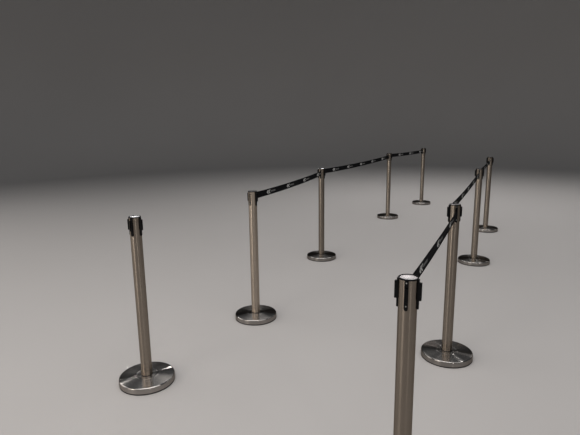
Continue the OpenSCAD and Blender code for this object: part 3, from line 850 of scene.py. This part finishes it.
def chevron_mark(tree, across, along):
    """A mask of two plain chevrons with a row of paler dashes before them, over and over."""
    pitch, mark_at, slope, bar_gap, bar_half, bar_high = 0.445, 0.2, 1.6, 0.016, 0.0095, 0.0145
    row_from, row_to, dash_pitch, dash_high, dash_ink = 0.045, 0.145, 0.02, 0.006, 0.4
    x = calc(tree, "SUBTRACT", mark_at, calc(tree, "MULTIPLY", calc(
        tree, "FRACT", calc(tree, "DIVIDE", along, pitch)), pitch))
    y = calc(tree, "ABSOLUTE", calc(tree, "SUBTRACT", across, belt_w / 2))
    leaning = calc(tree, "SUBTRACT", x, calc(tree, "MULTIPLY", y, slope))
    pair = calc(tree, "ABSOLUTE", calc(tree, "SUBTRACT", calc(
        tree, "ABSOLUTE", calc(tree, "ADD", leaning, 0.012)), bar_gap))
    bars = calc(tree, "MULTIPLY", calc(tree, "LESS_THAN", pair, bar_half),
                calc(tree, "LESS_THAN", y, bar_high))
    row = calc(tree, "MULTIPLY", calc(tree, "GREATER_THAN", x, row_from),
               calc(tree, "LESS_THAN", x, row_to))
    dash = calc(tree, "GREATER_THAN", calc(tree, "FRACT", calc(tree, "DIVIDE", x, dash_pitch)),
                0.35)
    thin = calc(tree, "MULTIPLY", calc(tree, "LESS_THAN", y, dash_high), dash_ink)
    row = calc(tree, "MULTIPLY", calc(tree, "MULTIPLY", row, dash), thin)
    return calc(tree, "MAXIMUM", bars, row)


spool_x, spool_r, pin_r, flange_t, belt_per_turn = -0.007, 0.0165, 0.0032, 0.0011, 0.1
pack_r, pack_low, pack_high = spool_r - 0.0012, mouth_z + 0.0014, mouth_z + clip_h - 0.0004
pack = turned("wound_belt", softened([
    (pin_r, pack_low, 0), (pack_r, pack_low, 0.0006),
    (pack_r + 0.0002, mouth_z + clip_h / 2, 0.02), (pack_r, pack_high, 0.0006),
    (pin_r, pack_high, 0)]), 64, spool_x)
for layer in pack.data.uv_layers:
    layer.name = "cloth"
    for loop in layer.data:
        loop.uv = (loop.uv[1], loop.uv[0] * belt_per_turn)
wound_webbing = webbing_finish("wound_webbing", False)
set_out("wound_belts", pack, posts, wound_webbing, "webbing", "belt_spools")
flanges = merged(*[turned("flange", softened([
    (pin_r, z, 0), (spool_r, z, 0.0004), (spool_r, z + flange_t, 0.0004),
    (pin_r, z + flange_t, 0)]), 64, spool_x)
    for z in (mouth_z + 0.0001, mouth_z + clip_h - 0.0001)])
set_out("drum_flanges", flanges, posts, head_plastic, "head_plastic", "belt_spools")

# Drawn belts: 50 mm black polyester webbing with close-woven edges and a printed middle. Each
# comes straight out of its mouth, bends towards the next post, sags a little under its own
# weight, and runs straight into the clip that holds its end.
belt_t, bend_r, belt_grip, sag_per_m = 0.0015, 0.012, 0.008, 0.006
most_twist, most_cup, bend_cuts, straight_cuts = math.radians(1.6), 0.0009, 8, 60
mouth_mid, hook_mid = mouth_z + clip_h / 2, hook_z + clip_h / 2


def way(angle):
    """The unit vector at an angle in plan."""
    return Vector((math.cos(angle), math.sin(angle)))


def near(angle):
    """The same angle, between half a turn either way."""
    return math.remainder(angle, 2 * math.pi)


def belt_path(first, second):
    """(point, heading, share, span) along one belt's middle, from its drum into its clip."""
    origin, goal = Vector(first[:2]), Vector(second[:2])
    out_a, in_a = first[3], second[3] + 3 * math.pi
    start = origin + way(out_a) * (tube_r + 0.002)
    stop = goal + way(in_a) * (block_x - tongue_x + clip_len)
    along = math.atan2(stop.y - start.y, stop.x - start.x)
    side_out = -1 if near(along - out_a) < 0 else 1
    side_in = 1 if near(along + math.pi - in_a) < 0 else -1
    square = math.pi / 2
    centre_out = start + way(out_a + square) * side_out * bend_r
    centre_in = stop - way(in_a + square) * side_in * bend_r
    gap = centre_in - centre_out
    go = math.atan2(gap.y, gap.x) - math.asin((side_in - side_out) * bend_r / gap.length)

    def bend(centre, side, from_a, to_a):
        """The points of one bend of the belt, and its heading at each."""
        turn = near(to_a - from_a)
        return [(centre - way(from_a + turn * t + square) * side * bend_r, from_a + turn * t)
                for t in np.linspace(0, 1, bend_cuts + 1)]

    bend_out = bend(centre_out, side_out, out_a, go)
    bend_in = bend(centre_in, side_in, go, in_a + math.pi)
    a, b = bend_out[-1][0], bend_in[0][0]
    straight = [(a.lerp(b, t), go) for t in np.linspace(0, 1, straight_cuts + 1)[1:-1]]
    points = [(origin + way(out_a) * (spool_x + spool_r - 0.0002), out_a)] + bend_out + straight
    points += bend_in + [(stop - way(in_a) * belt_grip, in_a + math.pi)]
    span = (b - a).length
    path = []
    for spot, heading in points:
        if path and (spot - path[-1][0].xy).length < 1e-5:
            continue
        u = min(1.0, max(0.0, (spot - a).dot((b - a) / span) / span))
        middle = mouth_mid + (hook_mid - mouth_mid) * u - 4 * sag_per_m * span * u * (1 - u)
        path.append((Vector((*spot, middle)), heading, u, span))
    return path


def section():
    """One cut through the webbing: (across, through) points with thick woven edges."""
    half, t = belt_w / 2, belt_t / 2
    thin = t * 0.82
    face = [(-half + 0.0006, t * 0.95), (-half + 0.0035, t), (-half + 0.0045, thin)]
    face += [(x, thin) for x in np.linspace(-0.016, 0.016, 7)]
    face += [(half - 0.0045, thin), (half - 0.0035, t), (half - 0.0006, t * 0.95)]
    edge = [(half - 0.0001, t * 0.4), (half - 0.0001, -t * 0.4)]
    return face + edge + [(a, -b) for a, b in face[::-1]] + [(-a, -b) for a, b in edge]


webbing = webbing_finish("printed_webbing", True)
# how far into the repeat of the print each belt starts, in metres
print_starts = (0.08, 0.31, 0.04, 0.305, 0.42, 0.16)
cut, upward = section(), Vector((0, 0, 1))
for k, (a, b) in enumerate(belt_runs):
    name = ("belt_left_" if a < 5 else "belt_right_") + str(k % 3 + 1)
    path = belt_path(posts[a], posts[b])
    made = bmesh.new()
    uv = made.loops.layers.uv.new("cloth")
    rows, run = [], [0.0]
    for spot, heading, u, span in path:
        rise = math.sin(math.pi * u) if 0 < u < 1 else 0.0
        twist = most_twist * rise * math.sin(2.6 * u * span + 1.7 * k)
        cup = most_cup * rise * math.sin(3.1 * u * span + k)
        through = Vector((-math.sin(heading), math.cos(heading), 0))
        row = []
        for s, t in cut:
            bow = cup * (1 - (2 * s / belt_w) ** 2)
            row.append(made.verts.new(
                spot + upward * (s * math.cos(twist) + t * math.sin(twist))
                + through * (t * math.cos(twist) - s * math.sin(twist) + bow)))
        rows.append(row)
    for here, there in zip(path, path[1:]):
        run.append(run[-1] + (there[0] - here[0]).length)
    for i in range(len(rows) - 1):
        for j in range(len(cut)):
            m = (j + 1) % len(cut)
            face = made.faces.new([rows[i][j], rows[i + 1][j], rows[i + 1][m], rows[i][m]])
            for loop, (p, q) in zip(face.loops, ((i, j), (i + 1, j), (i + 1, m), (i, m))):
                loop[uv].uv = (cut[q][0] + belt_w / 2, run[p] + print_starts[k])
    made.faces.new(rows[0])
    made.faces.new(rows[-1])
    drawn = keep("webbing_" + name[5:], made, crease=50)
    drawn.data.materials.append(webbing)
    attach(drawn, "root")
    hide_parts(name)

low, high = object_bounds()
